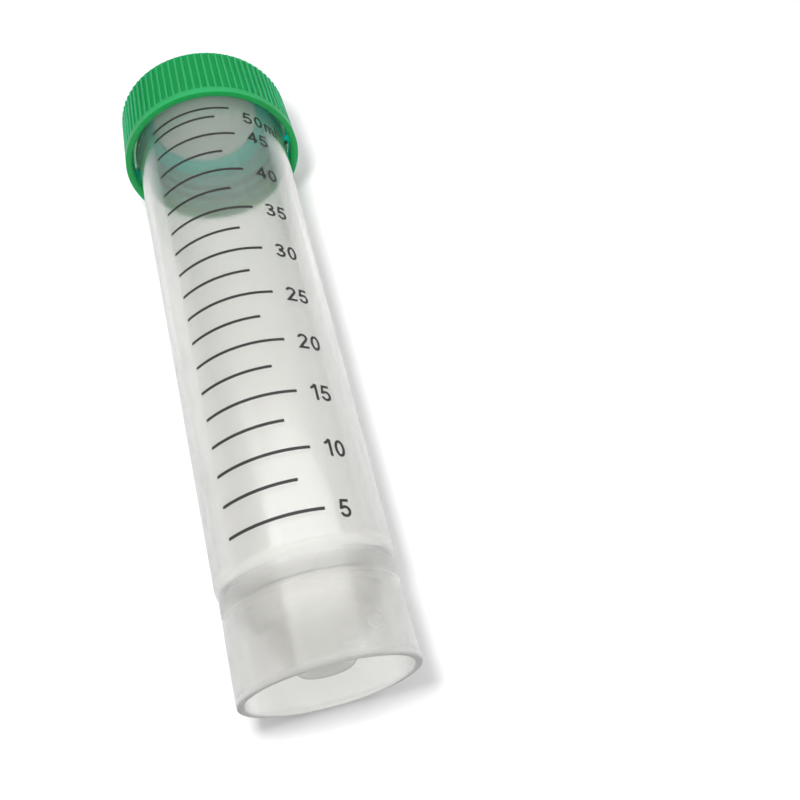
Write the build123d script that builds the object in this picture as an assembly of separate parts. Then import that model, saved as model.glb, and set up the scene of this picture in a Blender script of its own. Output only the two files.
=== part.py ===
"""50 ml self-standing conical tube with a knurled screw cap.

Three pieces: a clear tube moulded in one piece with its conical bottom, its open skirt and its
threaded neck, a screw cap, and a pale disc that sits in the middle of the cap's underside.
Millimetres, +Z up. The tube stands on the rim of its skirt: the origin is the centre of that rim.
"""
import os
from math import atan, cos, pi, radians, tan

from build123d import *

# ---- tube: heights above the skirt's rim ----
tube_length = 115.0          # skirt rim to mouth
step_low = 15.7              # top of the skirt's straight outside
step_high = 17.2             # where the step meets the body
neck_length = 11.0           # from the mouth down to where the body's taper ends

# ---- tube: radii and walls ----
skirt_radius = 13.35
body_radius_low = 13.72      # just above the step
neck_radius = 14.5           # straight neck, the root of its thread
wall = 1.1                   # body, neck and cone
skirt_wall = 1.05

# ---- conical bottom, inside the skirt ----
nose_height = 2.3            # the cone's blunt nose, above the rim plane
nose_radius = 3.9            # outside, before its edge is rounded
cone_root = 14.25            # where the cone's outside meets the skirt's inside
nose_round = 1.6
shoulder_round = 3.0         # inside, where the wall turns into the cone
root_round = 0.5
rim_round = 0.35             # both edges of the skirt's rim
mouth_round = 0.3
step_round = 0.5

# ---- thread: two starts, coarse bottle thread ----
thread_starts = 2
thread_lead = 6.0
thread_depth = 0.75
thread_crest = 0.7           # width of the ridge at its top
thread_root = 1.5            # width of the ridge at its foot
thread_drop = 8.0            # from the mouth down to the middle of each ridge where it begins
neck_thread_rise = 5.6       # how far each ridge climbs
thread_sink = 0.2            # how far a ridge reaches into the wall that carries it
thread_play = 0.35           # radial gap from a ridge's top to the other piece's wall

# ---- screw cap ----
cap_height = 12.25
cap_top_wall = 0.65          # over the disc
cap_wall = 1.33              # at the rim, over the smooth band
cap_draft = 2.4              # degrees, the cap narrows towards its top
cap_top_round = 0.7
cap_band = 1.45              # smooth band under the ribs
rib_count = 80
rib_width = 0.42             # at the cap's rim radius
rib_depth = 0.3
rim_lead_in = 0.35
seal_gap = 0.05              # from the tube's mouth to the cap's sealing land

# ---- pale disc under the cap's top ----
disc_radius = 10.5
disc_thickness = 0.3
disc_gap = 0.1               # round the disc, in its recess
disc_lift = 1.2              # the disc's underside lies this far above the sealing land
disc_round = 0.1


# ---- places worked out from the sizes above ----
skirt_bore = skirt_radius - skirt_wall
neck_bore = neck_radius - wall
cone_slope = (skirt_bore - nose_radius) / (cone_root - nose_height)
cone_tilt = atan(cone_slope)                     # from the axis
cone_offset = wall / cos(cone_tilt)              # the wall measured level, across the cone
nose_inside = nose_height + wall
nose_inside_radius = nose_radius + cone_slope * wall - cone_offset
shoulder = step_high                             # the cone's inside meets the body's bore here
shoulder_radius = body_radius_low - wall
neck_start = tube_length - neck_length
neck_thread_start = tube_length - thread_drop
cap_bore = neck_radius + thread_depth + thread_play
cap_rim_radius = cap_bore + cap_wall
cap_slope = tan(radians(cap_draft))
cap_top_radius = cap_rim_radius - cap_slope * cap_height
cap_land = tube_length + seal_gap                # flat ring that closes on the mouth
cap_recess = cap_land + disc_lift + disc_thickness + disc_gap
cap_top = cap_recess + cap_top_wall
cap_rim = cap_top - cap_height


def ridge(radius, outward, start, rise, turn):
    """One thread ridge: a trapezoid carried up a helix, with its foot sunk into the wall."""
    side = 1 if outward else -1
    foot = radius - side * thread_sink
    flank = (thread_root - thread_crest) / 2 / thread_depth
    foot_half = thread_root / 2 + flank * thread_sink
    top = radius + side * thread_depth
    outline = Polyline(
        (foot, 0, start - foot_half),
        (top, 0, start - thread_crest / 2),
        (top, 0, start + thread_crest / 2),
        (foot, 0, start + foot_half),
        close=True,
    )
    path = Pos(0, 0, start) * Helix(pitch=thread_lead, height=rise, radius=radius)
    swept = sweep(make_face(outline), path=path, is_frenet=True)
    return Rot(0, 0, turn) * swept


def thread(radius, outward, start, rise):
    """All the ridges of a thread, evenly spaced round the axis."""
    turns = [360 / thread_starts * number for number in range(thread_starts)]
    return [ridge(radius, outward, start, rise, turn) for turn in turns]


def make_tube():
    """The whole tube as one revolved section, with its thread fused on."""
    points = [
        (skirt_bore, 0),
        (skirt_radius, 0),
        (skirt_radius, step_low),
        (body_radius_low, step_high),
        (neck_radius, neck_start),
        (neck_radius, tube_length),
        (neck_bore, tube_length),
        (neck_bore, neck_start),
        (shoulder_radius, shoulder),
        (nose_inside_radius, nose_inside),
        (0, nose_inside),
        (0, nose_height),
        (nose_radius, nose_height),
        (skirt_bore, cone_root),
    ]
    rounds = {
        0: rim_round,
        1: rim_round,
        2: step_round,
        3: step_round,
        5: mouth_round,
        6: mouth_round,
        8: shoulder_round,
        9: nose_round,
        12: nose_round,
        13: root_round,
    }
    section = make_face(Polyline(*points, close=True))
    for index, radius in rounds.items():
        corner = Vector(*points[index])
        vertex = section.vertices().sort_by_distance(corner)[0]
        section = fillet(vertex, radius)
    tube = revolve(Plane.XZ * section, Axis.Z)
    for piece in thread(neck_radius, True, neck_thread_start, neck_thread_rise):
        tube += piece
    return tube


def make_cap():
    """The cap: a cup with a coarse thread inside and straight ribs outside."""
    points = [
        (cap_bore + rim_lead_in, cap_rim),
        (cap_rim_radius, cap_rim),
        (cap_top_radius, cap_top),
        (0, cap_top),
        (0, cap_recess),
        (disc_radius + disc_gap, cap_recess),
        (disc_radius + disc_gap, cap_land),
        (cap_bore, cap_land),
        (cap_bore, cap_rim + rim_lead_in),
    ]
    section = make_face(Polyline(*points, close=True))
    corner = section.vertices().sort_by_distance(Vector(*points[2]))[0]
    section = fillet(corner, cap_top_round)
    cap = revolve(Plane.XZ * section, Axis.Z)
    cap -= grooves()
    # a ridge of the cap runs half way between two ridges of the neck
    half_pitch = thread_lead / thread_starts / 2
    start = neck_thread_start + half_pitch
    for piece in thread(cap_bore, False, start, neck_thread_rise - half_pitch):
        cap += piece
    return cap


def grooves():
    """The cuts between the ribs, from the smooth band up through the top edge."""
    low = cap_rim + cap_band
    floor_low = cap_rim_radius - cap_slope * cap_band - rib_depth
    floor_top = cap_top_radius - rib_depth
    outside = cap_rim_radius + rib_depth
    pitch = 2 * pi * cap_rim_radius / rib_count
    width = pitch - rib_width
    cut = make_face(
        Polyline(
            (floor_low, low),
            (outside, low),
            (outside, cap_top),
            (floor_top, cap_top),
            close=True,
        )
    )
    bar = extrude(Plane.XZ * cut, amount=width / 2, both=True)
    return [Rot(0, 0, 360 / rib_count * number) * bar for number in range(rib_count)]


def make_disc():
    """The pale disc in the recess of the cap's underside."""
    low = cap_recess - disc_thickness - disc_gap / 2
    disc = Pos(0, 0, low) * Cylinder(
        disc_radius, disc_thickness, align=(Align.CENTER, Align.CENTER, Align.MIN)
    )
    return fillet(disc.edges().filter_by(GeomType.CIRCLE), disc_round)


parts = {
    "tube": make_tube(),
    "screw_cap": make_cap(),
    "seal_disc": make_disc(),
}

os.makedirs("parts", exist_ok=True)
for name, solid in parts.items():
    export_step(solid, f"parts/{name}.step")
    size = solid.bounding_box().size
    print(f"{name}: {solid.volume / 1000:.3f} cm3, {size.X:.2f} x {size.Y:.2f} x {size.Z:.2f} mm")
print(f"cap lead {thread_lead} mm per turn, rim radius {cap_rim_radius:.2f} mm")
print(f"cap rim at {cap_rim:.2f} mm, top at {cap_top:.2f} mm")
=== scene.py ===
# %% [markdown]
# # A 50 ml conical tube with a screw cap
# The shapes of this object are already made, as solids with real sizes. Here they get their looks: a
# milky, see-through plastic for the tube, a green one for the cap, and the scale that is printed on the
# tube. Everything is in metres, and the tube stands upright on the rim of its skirt at height 0.

# %% Load the solids
import math

import bmesh
import bpy
from mathutils import Matrix, Vector
from mathutils.bvhtree import BVHTree


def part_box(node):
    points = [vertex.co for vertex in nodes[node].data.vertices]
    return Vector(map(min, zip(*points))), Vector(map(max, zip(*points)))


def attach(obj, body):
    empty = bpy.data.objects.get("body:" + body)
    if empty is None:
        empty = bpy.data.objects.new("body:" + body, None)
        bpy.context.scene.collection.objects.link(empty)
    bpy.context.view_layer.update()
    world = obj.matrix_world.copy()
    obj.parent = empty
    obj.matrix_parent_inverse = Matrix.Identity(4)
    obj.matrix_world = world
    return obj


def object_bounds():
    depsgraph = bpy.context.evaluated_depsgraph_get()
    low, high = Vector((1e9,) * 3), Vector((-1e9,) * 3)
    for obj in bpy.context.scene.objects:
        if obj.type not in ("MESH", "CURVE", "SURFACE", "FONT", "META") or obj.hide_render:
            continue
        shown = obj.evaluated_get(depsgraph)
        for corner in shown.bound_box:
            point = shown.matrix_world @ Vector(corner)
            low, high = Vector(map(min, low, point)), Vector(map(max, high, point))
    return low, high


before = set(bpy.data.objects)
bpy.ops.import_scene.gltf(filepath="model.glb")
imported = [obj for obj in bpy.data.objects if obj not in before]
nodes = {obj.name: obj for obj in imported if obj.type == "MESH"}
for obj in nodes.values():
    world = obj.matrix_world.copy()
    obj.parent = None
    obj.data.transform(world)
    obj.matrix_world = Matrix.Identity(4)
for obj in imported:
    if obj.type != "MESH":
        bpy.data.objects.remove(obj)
solid_low, solid_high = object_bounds()
MM = 0.001
print("pieces:", sorted(nodes), "height", round(solid_high.z / MM, 2), "mm")

# %% [markdown]
# ## The camera
# The camera sits low in front of the tube and looks up along it, rolled so that the tube leans in the
# frame. A look-at direction and a roll are easier to read and change than a matrix.

# %% Place the camera
CAMERA_PLACE = Vector((0, -125.13, -27.44)) * MM
CAMERA_AIM = Vector((21.46, 0, 42.76)) * MM
CAMERA_ROLL = math.radians(-17.35)
CAMERA_LENS = 38.87

camera_data = bpy.data.cameras.new("camera")
camera_data.lens = CAMERA_LENS
camera_data.sensor_width = 36
camera_data.clip_start = 5 * MM
camera = bpy.data.objects.new("camera", camera_data)
bpy.context.scene.collection.objects.link(camera)
look = (CAMERA_AIM - CAMERA_PLACE).to_track_quat("-Z", "Y").to_matrix().to_4x4()
camera.matrix_world = (
    Matrix.Translation(CAMERA_PLACE) @ look @ Matrix.Rotation(CAMERA_ROLL, 4, "Z")
)
bpy.context.scene.camera = camera
print("camera right", [round(x, 3) for x in camera.matrix_world.col[0][:3]])

# %% [markdown]
# ## Small helpers for materials
# A material is a graph of nodes, and long lists of nodes and links are hard to read. So a few helpers
# add the nodes that this object needs most. Each takes what feeds it, which is a plain value or the
# output of another node, and gives back its own output.


# %% Helpers for nodes and links
def add_node(tree, kind, **values):
    """A new node in a tree. Values whose name is a property are set there, and others on sockets."""
    node = tree.nodes.new(kind)
    for name, value in values.items():
        if hasattr(node, name):
            setattr(node, name, value)
        else:
            node.inputs[name.replace("_", " ")].default_value = value
    return node


def feed(tree, source, socket):
    """Links an output to a socket, or sets a plain value there."""
    if isinstance(source, bpy.types.NodeSocket):
        tree.links.new(source, socket)
    else:
        socket.default_value = source


print("Blender", bpy.app.version_string, "makes the nodes")

# %% [markdown]
# ### Ramps, maths and mixes
# A ramp turns a height or a mask into a share. Maths joins two of them, and a mix goes from one colour
# or value to another by a share.

# %% Helpers for ramps, maths and mixes
# a Mix node has sockets for every kind of data: its first, its second and its result
MIX_SOCKETS = {"FLOAT": (2, 3, 0), "RGBA": (6, 7, 2)}


def add_ramp(tree, source, start, end, first=0.0, last=1.0, shape="LINEAR"):
    """A value that goes from first to last while its source goes from start to end."""
    ramp = add_node(tree, "ShaderNodeMapRange", interpolation_type=shape)
    for name, value in (("From Min", start), ("From Max", end), ("To Min", first), ("To Max", last)):
        ramp.inputs[name].default_value = value
    feed(tree, source, ramp.inputs["Value"])
    return ramp.outputs["Result"]


def add_maths(tree, operation, *terms):
    """One step of arithmetic on its terms."""
    node = add_node(tree, "ShaderNodeMath", operation=operation)
    for number, term in enumerate(terms):
        feed(tree, term, node.inputs[number])
    return node.outputs[0]


def add_mix(tree, kind, share, first, second):
    """Goes from the first value or colour to the second one, by a share."""
    mix = add_node(tree, "ShaderNodeMix", data_type=kind)
    first_socket, second_socket, result = MIX_SOCKETS[kind]
    feed(tree, share, mix.inputs[0])
    feed(tree, first, mix.inputs[first_socket])
    feed(tree, second, mix.inputs[second_socket])
    return mix.outputs[result]


print("mix sockets:", MIX_SOCKETS)

# %% [markdown]
# ### Starting and giving a material
# Every material here starts from a Principled shader. The values that are the same all over it are set
# on its sockets, and what changes over the surface is linked to it later.


# %% Helpers for materials
def new_material(name, **plain):
    """A material, its tree and its Principled shader, with the plain values set."""
    material = bpy.data.materials.new(name)
    material.use_nodes = True
    tree = material.node_tree
    shader = tree.nodes["Principled BSDF"]
    for socket, value in plain.items():
        shader.inputs[socket.replace("_", " ")].default_value = value
    return material, tree, shader


def dress(node_object, material):
    """Gives a solid its material in place of the plain one."""
    node_object.data.materials.clear()
    node_object.data.materials.append(material)


print("solids to dress:", len(nodes))

# %% [markdown]
# ## The skin of moulded plastic
# Moulded plastic is never perfectly even: its surface flows in long faint waves, and it has a fine
# grain. Both plastics, the disc and the ink use this, so it is one node group. It puts out a height for
# a bump, and a mask of slow clouds that varies colour and roughness.


# %% Build the moulded skin group
def build_moulded_skin():
    group = bpy.data.node_groups.new("moulded_skin", "ShaderNodeTree")
    sockets = group.interface
    for name, value in (("Wave Size", 80.0), ("Grain Size", 2500.0), ("Grain Share", 0.2)):
        socket = sockets.new_socket(name, in_out="INPUT", socket_type="NodeSocketFloat")
        socket.default_value = value
    sockets.new_socket("Height", in_out="OUTPUT", socket_type="NodeSocketFloat")
    sockets.new_socket("Clouds", in_out="OUTPUT", socket_type="NodeSocketFloat")
    inlet = group.nodes.new("NodeGroupInput")
    outlet = group.nodes.new("NodeGroupOutput")
    place = group.nodes.new("ShaderNodeTexCoord")
    waves = add_node(group, "ShaderNodeTexNoise", Detail=2.0, Roughness=0.45)
    grain = add_node(group, "ShaderNodeTexNoise", Detail=3.0, Roughness=0.6)
    for noise, size in ((waves, "Wave Size"), (grain, "Grain Size")):
        group.links.new(place.outputs["Object"], noise.inputs["Vector"])
        group.links.new(inlet.outputs[size], noise.inputs["Scale"])
    both = add_mix(group, "FLOAT", inlet.outputs["Grain Share"], waves.outputs["Fac"],
                   grain.outputs["Fac"])
    group.links.new(both, outlet.inputs["Height"])
    group.links.new(waves.outputs["Fac"], outlet.inputs["Clouds"])
    return group


moulded_skin = build_moulded_skin()
print("moulded skin has", len(moulded_skin.nodes), "nodes")

# %% [markdown]
# ### Placing the skin
# The group is placed in a material with that plastic's own sizes. Its clouds mix two close colours, and
# on the opaque plastics they also vary the roughness between two values.


# %% Place the skin in a material
def add_skin(tree, shader, wave, grain, share, depth, colours):
    """Adds the skin with its bump, and gives back its clouds and its cloudy colour."""
    skin = tree.nodes.new("ShaderNodeGroup")
    skin.node_tree = moulded_skin
    skin.inputs["Wave Size"].default_value = wave
    skin.inputs["Grain Size"].default_value = grain
    skin.inputs["Grain Share"].default_value = share
    bump = add_node(tree, "ShaderNodeBump", Strength=0.5, Distance=depth)
    tree.links.new(skin.outputs["Height"], bump.inputs["Height"])
    tree.links.new(bump.outputs["Normal"], shader.inputs["Normal"])
    clouds = skin.outputs["Clouds"]
    return clouds, add_mix(tree, "RGBA", clouds, *colours)


def finish_skin(tree, shader, clouds, colour, roughness):
    """Feeds a colour to a shader, and a roughness that varies with the clouds."""
    tree.links.new(colour, shader.inputs["Base Color"])
    cloudy = add_ramp(tree, clouds, 0.0, 1.0, *roughness)
    tree.links.new(cloudy, shader.inputs["Roughness"])


print("the skin gives", [socket.name for socket in moulded_skin.interface.items_tree
                         if socket.in_out == "OUTPUT"])

# %% [markdown]
# ## Heights and distances
# The tube and the cap are both round, so what changes over them changes with the height of a point or
# with its distance from the axis. Object coordinates give both, and they turn with the cap.


# %% Measure height and distance
def add_round(tree):
    """The height of a point and its distance from the axis."""
    place = tree.nodes.new("ShaderNodeTexCoord")
    split = tree.nodes.new("ShaderNodeSeparateXYZ")
    flat = tree.nodes.new("ShaderNodeCombineXYZ")
    distance = add_node(tree, "ShaderNodeVectorMath", operation="LENGTH")
    tree.links.new(place.outputs["Object"], split.inputs[0])
    tree.links.new(split.outputs["X"], flat.inputs["X"])
    tree.links.new(split.outputs["Y"], flat.inputs["Y"])
    tree.links.new(flat.outputs[0], distance.inputs[0])
    return split.outputs["Z"], distance.outputs["Value"]


print("tube and cap reach", round(solid_high.x / MM, 2), "mm from the axis")

# %% [markdown]
# ## Where the tube is cloudier
# Some places of the tube hold more plastic than a wall does: the rim of the skirt, the ring where the
# cone leaves the skirt, and the cone with its blunt nose. The skirt is a little cloudy all over. Each is
# a soft step in height or distance, and the strongest one wins.

# %% Build the group that finds the cloudier places
RIM_THICK = (0.5 * MM, 1.4 * MM)
ROOT_MIDDLE = 13.4 * MM
ROOT_THICK = (0.4 * MM, 2.6 * MM)
NOSE_THICK = (5.0 * MM, 12.0 * MM)
SKIRT_CLOUDY = (10.0 * MM, 17.0 * MM)
SKIRT_CLOUDY_SHARE = 0.35


def build_thick_places():
    group = bpy.data.node_groups.new("thick_places", "ShaderNodeTree")
    group.interface.new_socket("Thick", in_out="OUTPUT", socket_type="NodeSocketFloat")
    outlet = group.nodes.new("NodeGroupOutput")
    height, distance = add_round(group)
    over_root = add_maths(group, "SUBTRACT", height, ROOT_MIDDLE)
    from_root = add_maths(group, "ABSOLUTE", over_root)
    thick = add_ramp(group, height, *SKIRT_CLOUDY, SKIRT_CLOUDY_SHARE, 0.0, "SMOOTHSTEP")
    for source, span in ((height, RIM_THICK), (from_root, ROOT_THICK), (distance, NOSE_THICK)):
        place = add_ramp(group, source, *span, 1.0, 0.0, "SMOOTHSTEP")
        thick = add_maths(group, "MAXIMUM", thick, place)
    group.links.new(thick, outlet.inputs["Thick"])
    return group


thick_places = build_thick_places()
print("thick places group has", len(thick_places.nodes), "nodes")

# %% [markdown]
# ## The tube's milky plastic
# Natural polypropylene lets light through but clouds it, and its outside is glossy. Glass mixed with a
# matt shader would do, but one Principled shader is simpler: its transmission bends the view as a real
# wall does, its pale colour is the cloudy share, and a coat gives the gloss.

# %% Start the milky plastic
CLEAR_SHARE = 0.93
milky, tree, shader = new_material(
    "milky_plastic", IOR=1.49, Transmission_Weight=CLEAR_SHARE, Specular_IOR_Level=0.35,
    Coat_Weight=0.5, Coat_Roughness=0.10)
clouds, colour = add_skin(
    tree, shader, wave=60, grain=1800, share=0.1, depth=0.05 * MM,
    colours=((0.975, 0.973, 0.948, 1), (0.995, 0.990, 0.970, 1)))
height, distance = add_round(tree)
thick_group = tree.nodes.new("ShaderNodeGroup")
thick_group.node_tree = thick_places
thick = thick_group.outputs["Thick"]
print("milky plastic started, clear share", CLEAR_SHARE)

# %% [markdown]
# ### How clear it is
# Through a rough wall the view behind is blurred. The skirt and the foot of the body are rougher than
# the rest, the change up the body is gradual, and the thick places are rougher still.

# %% Roughen the milky plastic
CLOUDY_BELOW = 16 * MM
CLEAR_ABOVE = 75 * MM
LOW_ROUGHNESS = 0.17
HIGH_ROUGHNESS = 0.02
CLOUD_ROUGHNESS = 0.12
THICK_ROUGHNESS = 0.32
by_height = add_ramp(tree, height, CLOUDY_BELOW, CLEAR_ABOVE, LOW_ROUGHNESS, HIGH_ROUGHNESS)
cloudy = add_maths(tree, "MULTIPLY_ADD", clouds, CLOUD_ROUGHNESS, by_height)
duller = add_mix(tree, "FLOAT", thick, cloudy, THICK_ROUGHNESS)
tree.links.new(duller, shader.inputs["Roughness"])
print("roughness from", LOW_ROUGHNESS, "down to", HIGH_ROUGHNESS)

# %% [markdown]
# ### How much light it lets in
# A renderer lets no lamp shine straight through glass, so a clear tube would be dark inside and throw a
# black shadow. Here shadow rays and bounced rays meet a lower alpha than the camera does. The body holds
# back most of a lamp's light, which gives the tube its shadow, and the neck little, which lights the cap
# from inside.

# %% Let light into the tube
BODY_SHADE = 0.72
NECK_SHADE = 0.30
SHADY_BELOW = 75 * MM
OPEN_ABOVE = 98 * MM
rays = tree.nodes.new("ShaderNodeLightPath")
let_in = add_ramp(tree, height, SHADY_BELOW, OPEN_ABOVE, 1 - BODY_SHADE, 1 - NECK_SHADE)
bounced = add_maths(tree, "MULTIPLY", rays.outputs["Is Diffuse Ray"], 1 - NECK_SHADE)
passed = add_maths(tree, "MULTIPLY_ADD", rays.outputs["Is Shadow Ray"], let_in, bounced)
alpha = add_maths(tree, "SUBTRACT", 1.0, passed)
tree.links.new(alpha, shader.inputs["Alpha"])
print("light held back:", BODY_SHADE, "by the body,", NECK_SHADE, "by the neck")

# %% [markdown]
# ### Its colour
# Light crosses more of the wall at a slant, so the sides of the tube look darker: this is painted shade,
# its mask the Facing of a Layer Weight. The thick places are a little greyer. The neck's thread gets
# painted green light, a tint that stands in for the light inside the closed cap. It belongs to the neck,
# so a lifted cap leaves it bare, and the thread stays green there though real plastic would not.

# %% Colour the milky plastic
SLANT_START = 0.15
SLANT_SHADE_COLOUR = (0.50, 0.50, 0.49, 1)
THICK_COLOUR = (0.87, 0.866, 0.84, 1)
PAINTED_GREEN_LIGHT = (0.10, 0.30, 0.15, 1)
NECK_RADIUS = 14.5 * MM
OVER_NECK = 0.1 * MM
UNDER_CAP = 1.0 * MM
cap_low, cap_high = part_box("screw_cap")
# painted shade: the colour darkens towards the sides of the tube
slant = add_node(tree, "ShaderNodeLayerWeight", Blend=0.5)
sides = add_ramp(tree, slant.outputs["Facing"], SLANT_START, 1.0)
colour = add_mix(tree, "RGBA", sides, colour, SLANT_SHADE_COLOUR)
colour = add_mix(tree, "RGBA", thick, colour, THICK_COLOUR)
# painted green light on the thread under the closed cap
on_thread = add_ramp(tree, distance, NECK_RADIUS, NECK_RADIUS + OVER_NECK)
under_cap = add_ramp(tree, height, cap_low.z, cap_low.z + UNDER_CAP)
in_green_light = add_maths(tree, "MULTIPLY", on_thread, under_cap)
colour = add_mix(tree, "RGBA", in_green_light, colour, PAINTED_GREEN_LIGHT)
tree.links.new(colour, shader.inputs["Base Color"])
dress(nodes["tube"], milky)
print("milky plastic on the tube")

# %% [markdown]
# ## The cap's green plastic
# The cap is satin green and thin enough to let some light through its wall, so it has some subsurface
# scattering. The crests of its ribs get a painted highlight, lighter than the grooves, which stands in
# for the light that the rounded edges catch: its mask is the distance from the axis, with the cap's own
# taper taken out.

# %% Make the green plastic
CAP_RIM_RADIUS = cap_high.x
CAP_DRAFT = math.radians(2.4)
CAP_TAPER = math.tan(CAP_DRAFT)
RIB_DEPTH = 0.3 * MM
CREST_HIGHLIGHT_SHARE = 0.8
CREST_HIGHLIGHT_COLOUR = (0.036, 0.37, 0.130, 1)
green, tree, shader = new_material(
    "green_plastic", IOR=1.5, Specular_IOR_Level=0.3, Subsurface_Weight=0.6,
    Subsurface_Radius=(0.2, 1.0, 0.8), Subsurface_Scale=4.0 * MM)
clouds, colour = add_skin(
    tree, shader, wave=150, grain=3500, share=0.5, depth=0.03 * MM,
    colours=((0.004, 0.235, 0.052, 1), (0.007, 0.285, 0.068, 1)))
height, distance = add_round(tree)
narrower = add_maths(tree, "MULTIPLY_ADD", height, CAP_TAPER, -CAP_TAPER * cap_low.z)
straight = add_maths(tree, "ADD", distance, narrower)
# painted highlight: the crests of the ribs are lighter than the grooves
crest_highlight = add_ramp(tree, straight, CAP_RIM_RADIUS - RIB_DEPTH, CAP_RIM_RADIUS, 0.0, CREST_HIGHLIGHT_SHARE)
colour = add_mix(tree, "RGBA", crest_highlight, colour, CREST_HIGHLIGHT_COLOUR)
print("green plastic started, rim radius", round(CAP_RIM_RADIUS / MM, 2), "mm")

# %% [markdown]
# ### Inside the cap
# Light that comes through the milky neck gathers inside the cap. That light is painted: the green inside
# is paler and bluer, more so away from the rim. The narrow lip under the rim gets painted shade.

# %% Paint light inside the cap and shade on its lip
CAP_WALL = 1.33 * MM
CAP_BORE = CAP_RIM_RADIUS - CAP_WALL
THIN = 0.1 * MM
INSIDE_START = 1.0 * MM
INSIDE_FULL = 3.5 * MM
PAINTED_INSIDE_LIGHT = (0.0, 0.46, 0.36, 1)
LIP_SHADE_COLOUR = (0.006, 0.225, 0.052, 1)
# painted light: a paler, bluer green deep inside the cap
inside = add_maths(tree, "LESS_THAN", distance, CAP_BORE + THIN)
deep = add_ramp(tree, height, cap_low.z + INSIDE_START, cap_low.z + INSIDE_FULL)
inside_light_share = add_maths(tree, "MULTIPLY", deep, inside)
colour = add_mix(tree, "RGBA", inside_light_share, colour, PAINTED_INSIDE_LIGHT)
# painted shade on the narrow lip under the rim
lip = add_maths(tree, "LESS_THAN", height, cap_low.z + THIN)
colour = add_mix(tree, "RGBA", lip, colour, LIP_SHADE_COLOUR)
finish_skin(tree, shader, clouds, colour, (0.38, 0.50))
dress(nodes["screw_cap"], green)
print("green plastic on the cap")

# %% [markdown]
# ## The pale disc
# A plain matt disc sits in the middle of the cap's underside. It shows through the tube as a pale spot.

# %% Make the pale plastic
pale, tree, shader = new_material("pale_plastic")
clouds, colour = add_skin(
    tree, shader, wave=200, grain=4000, share=0.6, depth=0.03 * MM,
    colours=((0.43, 0.53, 0.465, 1), (0.49, 0.59, 0.525, 1)))
finish_skin(tree, shader, clouds, colour, (0.5, 0.65))
dress(nodes["seal_disc"], pale)
print("pale plastic on the disc")

# %% [markdown]
# ## The printed scale
# The scale is ink, a few hundredths of a millimetre thick, on the outside of the wall. The wall tapers,
# so each point of the print asks the tube itself for its radius by a ray from outside. The lines stand
# closer together higher up, because the bore widens: every step holds the same volume.

# %% Find the wall, and the height of each line
tube_mesh = nodes["tube"].data
wall_tree = BVHTree.FromPolygons(
    [v.co for v in tube_mesh.vertices], [p.vertices for p in tube_mesh.polygons]
)
INK_THICK = 0.03 * MM
INK_SINK = 0.01 * MM
INK_LAYER = 0.001 * MM
FAR_OUT = 40 * MM


def wall_radius(angle, height):
    """Radius of the tube's outside at an angle round the axis and a height."""
    outward = Vector((math.cos(angle), math.sin(angle), 0))
    hit = wall_tree.ray_cast(outward * FAR_OUT + Vector((0, 0, height)), -outward)[0]
    return hit.xy.length


FIRST_LINE = 21.17 * MM
LAST_LINE = 103.57 * MM
WALL = 1.1 * MM
STEP_VOLUME = 2.5e-6        # 2.5 ml between two lines
HALF_STEP = 2.4 * MM
LINE_COUNT = 18
FACING = math.radians(-90)


def line_heights(count):
    """Heights of the lines above the first: each step adds the same volume to the bore."""
    heights = [FIRST_LINE]
    for _ in range(count - 1):
        bore = wall_radius(FACING, heights[-1] + HALF_STEP) - WALL
        heights.append(heights[-1] + STEP_VOLUME / (math.pi * bore * bore))
    return heights


heights = line_heights(LINE_COUNT) + [LAST_LINE]
print("first and last lines", [round(h / MM, 2) for h in (heights[0], heights[-2], heights[-1])])

# %% [markdown]
# ### The ink
# The ink is matt and nearly black, a little uneven like the plastic under it. Every line and number is a
# piece of it that rides on the tube. An image wrapped on the wall would be quicker to make, but its
# edges blur from near by, and it has no thickness.

# %% Mix the ink, and finish a piece of print
ink, tree, shader = new_material("printed_ink")
clouds, colour = add_skin(
    tree, shader, wave=400, grain=5000, share=0.5, depth=0.01 * MM,
    colours=((0.020, 0.020, 0.020, 1), (0.040, 0.040, 0.038, 1)))
finish_skin(tree, shader, clouds, colour, (0.4, 0.55))


def finish_piece(name, mesh):
    """Turns a mesh in the making into an inked piece that rides on the tube."""
    bmesh.ops.recalc_face_normals(mesh, faces=mesh.faces)
    data = bpy.data.meshes.new(name)
    mesh.to_mesh(data)
    mesh.free()
    data.materials.append(ink)
    piece = bpy.data.objects.new(name, data)
    bpy.context.scene.collection.objects.link(piece)
    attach(piece, "tube")
    return piece


print("ink ready:", ink.name)

# %% [markdown]
# ### Bands on the wall
# Lines and numbers are bands with a front, a back and edges, so that they are real thin solids. Each is
# a row of rings with four corners, joined into faces.


# %% Helpers for bands on the wall
def on_wall(angle, height, proud):
    """The point over the wall at an angle and a height, that far proud of it."""
    radius = wall_radius(angle, height) + proud
    return Vector((radius * math.cos(angle), radius * math.sin(angle), height))


def join_rings(mesh, rings):
    """Faces between four-cornered rings, closed at both ends."""
    for one, two in zip(rings, rings[1:]):
        for corner in range(4):
            following = (corner + 1) % 4
            mesh.faces.new((one[corner], two[corner], two[following], one[following]))
    mesh.faces.new(rings[0])
    mesh.faces.new(reversed(rings[-1]))


print("wall radius at the first line", round(wall_radius(FACING, FIRST_LINE) / MM, 2), "mm")

# %% [markdown]
# ### Lines
# A line is a band round the wall at one height. Every second one is shorter, for the half steps.

# %% Make the lines
LINE_LEFT = math.radians(-133.4)
MAJOR_RIGHT = math.radians(-71.0)
MINOR_RIGHT = math.radians(-82.9)
LINE_WIDTH = 0.50 * MM
ARC_STEP = math.radians(1.2)


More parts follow.
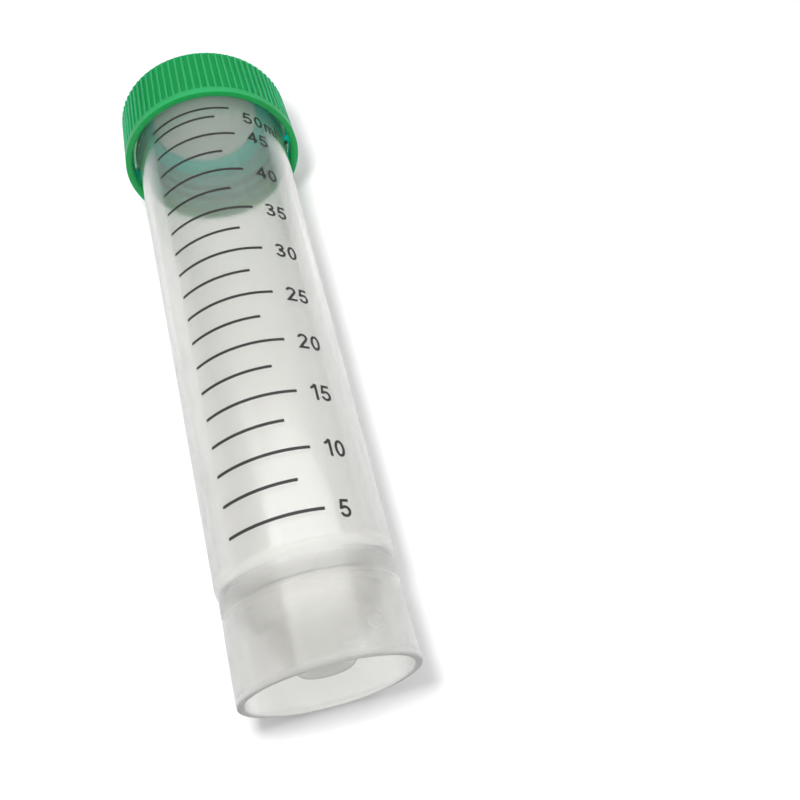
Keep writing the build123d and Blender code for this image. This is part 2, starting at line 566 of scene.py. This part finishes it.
def make_strip(mesh, left, right, height):
    """Adds one curved strip to a mesh in the making."""
    steps = max(2, round((right - left) / ARC_STEP))
    rings = []
    for number in range(steps + 1):
        angle = left + (right - left) * number / steps
        rings.append([
            mesh.verts.new(on_wall(angle, height + side * LINE_WIDTH / 2, proud))
            for side, proud in (
                (-1, -INK_SINK), (-1, INK_THICK), (1, INK_THICK), (1, -INK_SINK))
        ])
    join_rings(mesh, rings)


lines = bmesh.new()
for number, height in enumerate(heights):
    make_strip(lines, LINE_LEFT, MAJOR_RIGHT if number % 2 == 0 else MINOR_RIGHT, height)
scale_lines = finish_piece("scale_lines", lines)
print("scale lines:", len(heights), "with", len(scale_lines.data.polygons), "faces")

# %% [markdown]
# ### Numbers
# A scale like this is printed in plain, even strokes. A stroke is simple to describe: a path of straight
# runs and arcs, made into a band of one width. Each sign below is drawn on a grid where its height is 1,
# and the bands are then wrapped on the wall, so that across the sign becomes the way round the tube.

# %% Draw the signs as strokes
NUMBER_HEIGHT = 2.85 * MM
NUMBER_LEFT = math.radians(-61.7)
TOP_NUMBER_DROP = 1.87 * MM
STROKE = 0.155
STRETCH = 1.06
NUMBER_DROP = 0.12 * MM
SIGN_GAP = 0.17
ARC_TURN = 12


def arc(x, y, wide, high, start, end):
    """Points on an ellipse's arc: middle, half width, half height, and its two angles in degrees."""
    count = max(2, round(abs(end - start) / ARC_TURN))
    angles = [math.radians(start + (end - start) * n / count) for n in range(count + 1)]
    return [(x + wide * math.cos(a), y + high * math.sin(a)) for a in angles]


EDGE = STROKE / 2
TOP = 1 - EDGE
SIGNS = {
    "0": (0.60, [arc(0.30, 0.5, 0.30 - EDGE, 0.5 - EDGE, 90, 450)]),
    "1": (0.42, [[(0.04, 0.74), (0.20, 0.84), (0.33, 1.0)], [(0.33, 1.0), (0.33, 0.0)]]),
    "2": (0.60, [arc(0.30, 0.71, 0.30 - EDGE, 0.29 - EDGE, 170, -35)
                 + [(EDGE, EDGE), (0.60, EDGE)]]),
    "3": (0.60, [arc(0.29, 0.745, 0.27 - EDGE, 0.255 - EDGE, 165, -90)
                 + arc(0.29, 0.285, 0.31 - EDGE, 0.285 - EDGE, 90, -165)]),
    "4": (0.64, [[(0.46, 0.0), (0.46, TOP), (EDGE, 0.30), (0.64, 0.30)]]),
    "5": (0.60, [[(0.55, TOP), (0.16, TOP), (0.09, 0.52)]
                 + arc(0.29, 0.325, 0.31 - EDGE, 0.325 - EDGE, 128, -165)]),
    "m": (0.86, [[(EDGE, 0.0), (EDGE, 0.72)],
                 arc(0.25, 0.50, 0.25 - EDGE, 0.22 - EDGE, 180, 0) + [(0.50 - EDGE, 0.0)],
                 arc(0.61, 0.50, 0.25 - EDGE, 0.22 - EDGE, 180, 0) + [(0.86 - EDGE, 0.0)]]),
    "l": (STROKE, [[(EDGE, 0.0), (EDGE, 1.0)]]),
}
print("signs drawn:", " ".join(SIGNS))

# %% [markdown]
# A band needs a left and a right edge. At each point of the path they lie half a stroke either side,
# square to the path, and a little further out at a corner so that the band keeps its width.

# %% Find the edges of a band
LONGEST_RUN = 0.12
SAME_POINT = 1e-4
SHARPEST = 0.5


def refine(path):
    """The path with its long runs divided, so that it can bend round the wall."""
    points = [Vector(path[0])]
    for start, end in zip(path, path[1:]):
        start, end = Vector(start), Vector(end)
        count = max(1, math.ceil((end - start).length / LONGEST_RUN))
        points += [start.lerp(end, n / count) for n in range(1, count + 1)]
    return [p for n, p in enumerate(points) if n == 0 or (p - points[n - 1]).length > SAME_POINT]


def band_edges(points):
    """The two edges of the band along a path."""
    edges = []
    for n, point in enumerate(points):
        before = (point - points[n - 1]).normalized() if n else None
        after = (points[n + 1] - point).normalized() if n + 1 < len(points) else None
        before, after = before or after, after or before
        square = Vector((-(before + after).y, (before + after).x)).normalized()
        reach = STROKE / 2 / max(SHARPEST, square.dot(Vector((-before.y, before.x))))
        edges.append((point + square * reach, point - square * reach))
    return edges


print("stroke", round(STROKE * NUMBER_HEIGHT / MM, 2), "mm wide")

# %% [markdown]
# To wrap a sign, across becomes an angle round the tube and up stays up. Where two strokes of a number
# cross, each later one stands a thousandth of a millimetre prouder, so that no two faces fight.


# %% Wrap the signs on the wall
def write_number(words, middle):
    """One number on the wall, its middle at a height."""
    mesh = bmesh.new()
    radius = wall_radius(NUMBER_LEFT, middle)
    layer = 0

    def at(x, y, proud):
        angle = NUMBER_LEFT + x * STRETCH * NUMBER_HEIGHT / radius
        return mesh.verts.new(on_wall(angle, middle + (y - 0.5) * NUMBER_HEIGHT, proud))

    pen = 0.0
    for sign in words:
        width, paths = SIGNS[sign]
        for path in paths:
            layer += 1
            proud = INK_THICK + layer * INK_LAYER
            rings = []
            for left, right in band_edges(refine(path)):
                rings.append([at(pen + left.x, left.y, -INK_SINK), at(pen + left.x, left.y, proud),
                              at(pen + right.x, right.y, proud), at(pen + right.x, right.y, -INK_SINK)])
            join_rings(mesh, rings)
        pen += width + SIGN_GAP
    return finish_piece("number_" + words, mesh)


for step in range(1, 10):
    write_number(str(step * 5), heights[(step - 1) * 2] - NUMBER_DROP)
write_number("50ml", heights[-1] - TOP_NUMBER_DROP)
print("numbers made, height", NUMBER_HEIGHT / MM, "mm")

# %% [markdown]
# ## Floor and backdrop
# The tube stands on a pale floor, close to a pale backdrop that its cap and skirt just miss. Both are
# one-sided: from behind or from below they let the view through, because the camera looks up from under
# the floor. A thicker stage with a hole would do as well, but it would throw its own shadows.
#
# They must look white and still take the tube's soft shadow. So they are matt, with a weak glow that only
# shows to the eye, to reflections and through the tube. Reflections see a darker grey, as in a room.

# %% Make the stage's material
PALE = 0.8
PALE_IN_REFLECTION = 0.58
BACKDROP_GLOW = 0.12
FLOOR_GLOW = 0.35
GLOW_THROUGH_TUBE = 0.49


def make_stage_material(name, share):
    """Pale, one-sided, white where it is lit, and grey in shadow."""
    material = bpy.data.materials.new(name)
    material.use_nodes = True
    tree = material.node_tree
    tree.nodes.clear()
    matt = tree.nodes.new("ShaderNodeBsdfDiffuse")
    glow = tree.nodes.new("ShaderNodeEmission")
    both = tree.nodes.new("ShaderNodeAddShader")
    clear = tree.nodes.new("ShaderNodeBsdfTransparent")
    side = tree.nodes.new("ShaderNodeNewGeometry")
    pick = tree.nodes.new("ShaderNodeMixShader")
    out = tree.nodes.new("ShaderNodeOutputMaterial")
    rays = tree.nodes.new("ShaderNodeLightPath")
    glow.inputs["Color"].default_value = (1, 1, 1, 1)
    glossy = rays.outputs["Is Glossy Ray"]
    seen = add_maths(tree, "MAXIMUM", rays.outputs["Is Camera Ray"], glossy)
    through = add_maths(tree, "MULTIPLY", rays.outputs["Is Transmission Ray"], GLOW_THROUGH_TUBE)
    strength = add_maths(tree, "MULTIPLY_ADD", seen, share, through)
    paleness = add_ramp(tree, glossy, 0.0, 1.0, PALE, PALE_IN_REFLECTION)
    tree.links.new(strength, glow.inputs["Strength"])
    tree.links.new(paleness, matt.inputs["Color"])
    tree.links.new(matt.outputs[0], both.inputs[0])
    tree.links.new(glow.outputs[0], both.inputs[1])
    tree.links.new(side.outputs["Backfacing"], pick.inputs[0])
    tree.links.new(both.outputs[0], pick.inputs[1])
    tree.links.new(clear.outputs[0], pick.inputs[2])
    tree.links.new(pick.outputs[0], out.inputs["Surface"])
    return material


pale_stage = make_stage_material("pale_stage", BACKDROP_GLOW)
pale_floor = make_stage_material("pale_floor", FLOOR_GLOW)
print("stage materials:", pale_stage.name, pale_floor.name)

# %% [markdown]
# ### Standing them up
# The backdrop leans back a little, so that it clears both the skirt and the wider cap by the same gap.
# The two sheets cast no shadow themselves, and the floor sends no light up the tube.

# %% Set up the floor and the backdrop
STAGE_SIZE = 1.2
STAGE_GAP = 0.3 * MM
SKIRT_PROBE = 5 * MM


def make_sheet(name, corners, material):
    """A flat stage sheet, facing the side from which its corners run anticlockwise."""
    data = bpy.data.meshes.new(name)
    data.from_pydata(corners, [], [(0, 1, 2, 3)])
    data.materials.append(material)
    sheet = bpy.data.objects.new(name, data)
    bpy.context.scene.collection.objects.link(sheet)
    sheet.visible_shadow = False
    return sheet


tube_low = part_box("tube")[0]
skirt_back = wall_radius(FACING, tube_low.z + SKIRT_PROBE)
lean = (CAP_RIM_RADIUS - skirt_back) / (cap_low.z - tube_low.z)


def backdrop_y(height):
    """How far back the backdrop is at a height."""
    return skirt_back + STAGE_GAP + lean * height


half = STAGE_SIZE / 2
floor = make_sheet("floor", [(-half, -half, 0), (half, -half, 0), (half, half, 0), (-half, half, 0)],
                   pale_floor)
make_sheet("backdrop", [
    (-half, backdrop_y(-half), -half), (half, backdrop_y(-half), -half),
    (half, backdrop_y(half), half), (-half, backdrop_y(half), half)], pale_stage)
floor.visible_diffuse = False
print("backdrop leans", round(math.degrees(math.atan(lean)), 2), "degrees")

# %% [markdown]
# ## Lights
# The shadow on the right is narrow and even all the way down. A large lamp far off can't make that, but
# a small one close to the camera can, a little to its left and above. Its light doesn't fade with
# distance, so that the skirt, which is nearest, doesn't burn out. It and the fill aren't seen in
# reflections. A wide window and a smaller lamp beside it give the broad gloss along the wall, and weak
# ones below and behind fill the other sides.

# %% Place the lamps
CENTRE = (solid_low + solid_high) / 2


def add_light(name, place, size, watts, tall=1.0, aim=CENTRE):
    """A soft light that looks at a place, its height tall times its width."""
    data = bpy.data.lights.new(name, "AREA")
    data.shape = "RECTANGLE"
    data.size = size
    data.size_y = size * tall
    data.energy = watts
    light = bpy.data.objects.new(name, data)
    bpy.context.scene.collection.objects.link(light)
    light.location = place
    light.rotation_euler = (aim - Vector(place)).to_track_quat("-Z", "Y").to_euler()
    return light


def keep_strength(light):
    """Makes a lamp as bright far off as near."""
    light.data.use_nodes = True
    tree = light.data.node_tree
    falloff = add_node(tree, "ShaderNodeLightFalloff", Strength=1.0)
    tree.links.new(falloff.outputs["Constant"], tree.nodes["Emission"].inputs["Strength"])


cap_middle = (cap_low + cap_high) / 2
main_light = add_light(
    "main_light", place=(-0.0210, -0.1398, 0.0115), size=0.027, watts=9.0, aim=cap_middle)
keep_strength(main_light)
add_light("window_light", place=(0.05, -0.30, 0.08), size=0.55, watts=0.62, tall=0.4)
add_light("strip_light", place=(-0.15, -0.28, 0.11), size=0.09, watts=0.034, tall=2.2)
fill_light = add_light("fill_light", place=(0.45, -0.35, 0.30), size=0.50, watts=0.4)
add_light("low_light", place=(0.0, -0.07, -0.45), size=0.25, watts=0.9)
add_light("back_light", place=(0.10, 0.55, 0.40), size=0.50, watts=0.6)
for light in (main_light, fill_light):
    light.visible_glossy = False
    light.visible_transmission = False

# %% [markdown]
# ### The even light round everything
# The world is white where the camera sees it directly. Everything else, reflections and the view
# through the tube too, gets only a weak, even light from it.

# %% Set the world
WORLD_LIGHT = 0.19
world = bpy.data.worlds.new("even_light")
bpy.context.scene.world = world
world.use_nodes = True
tree = world.node_tree
backing = tree.nodes["Background"]
backing.inputs["Color"].default_value = (1, 1, 1, 1)
seen = tree.nodes.new("ShaderNodeLightPath").outputs["Is Camera Ray"]
strength = add_ramp(tree, seen, 0.0, 1.0, WORLD_LIGHT, 1.0)
tree.links.new(strength, backing.inputs["Strength"])
bpy.context.scene.view_settings.view_transform = "Standard"
print("world light", WORLD_LIGHT)
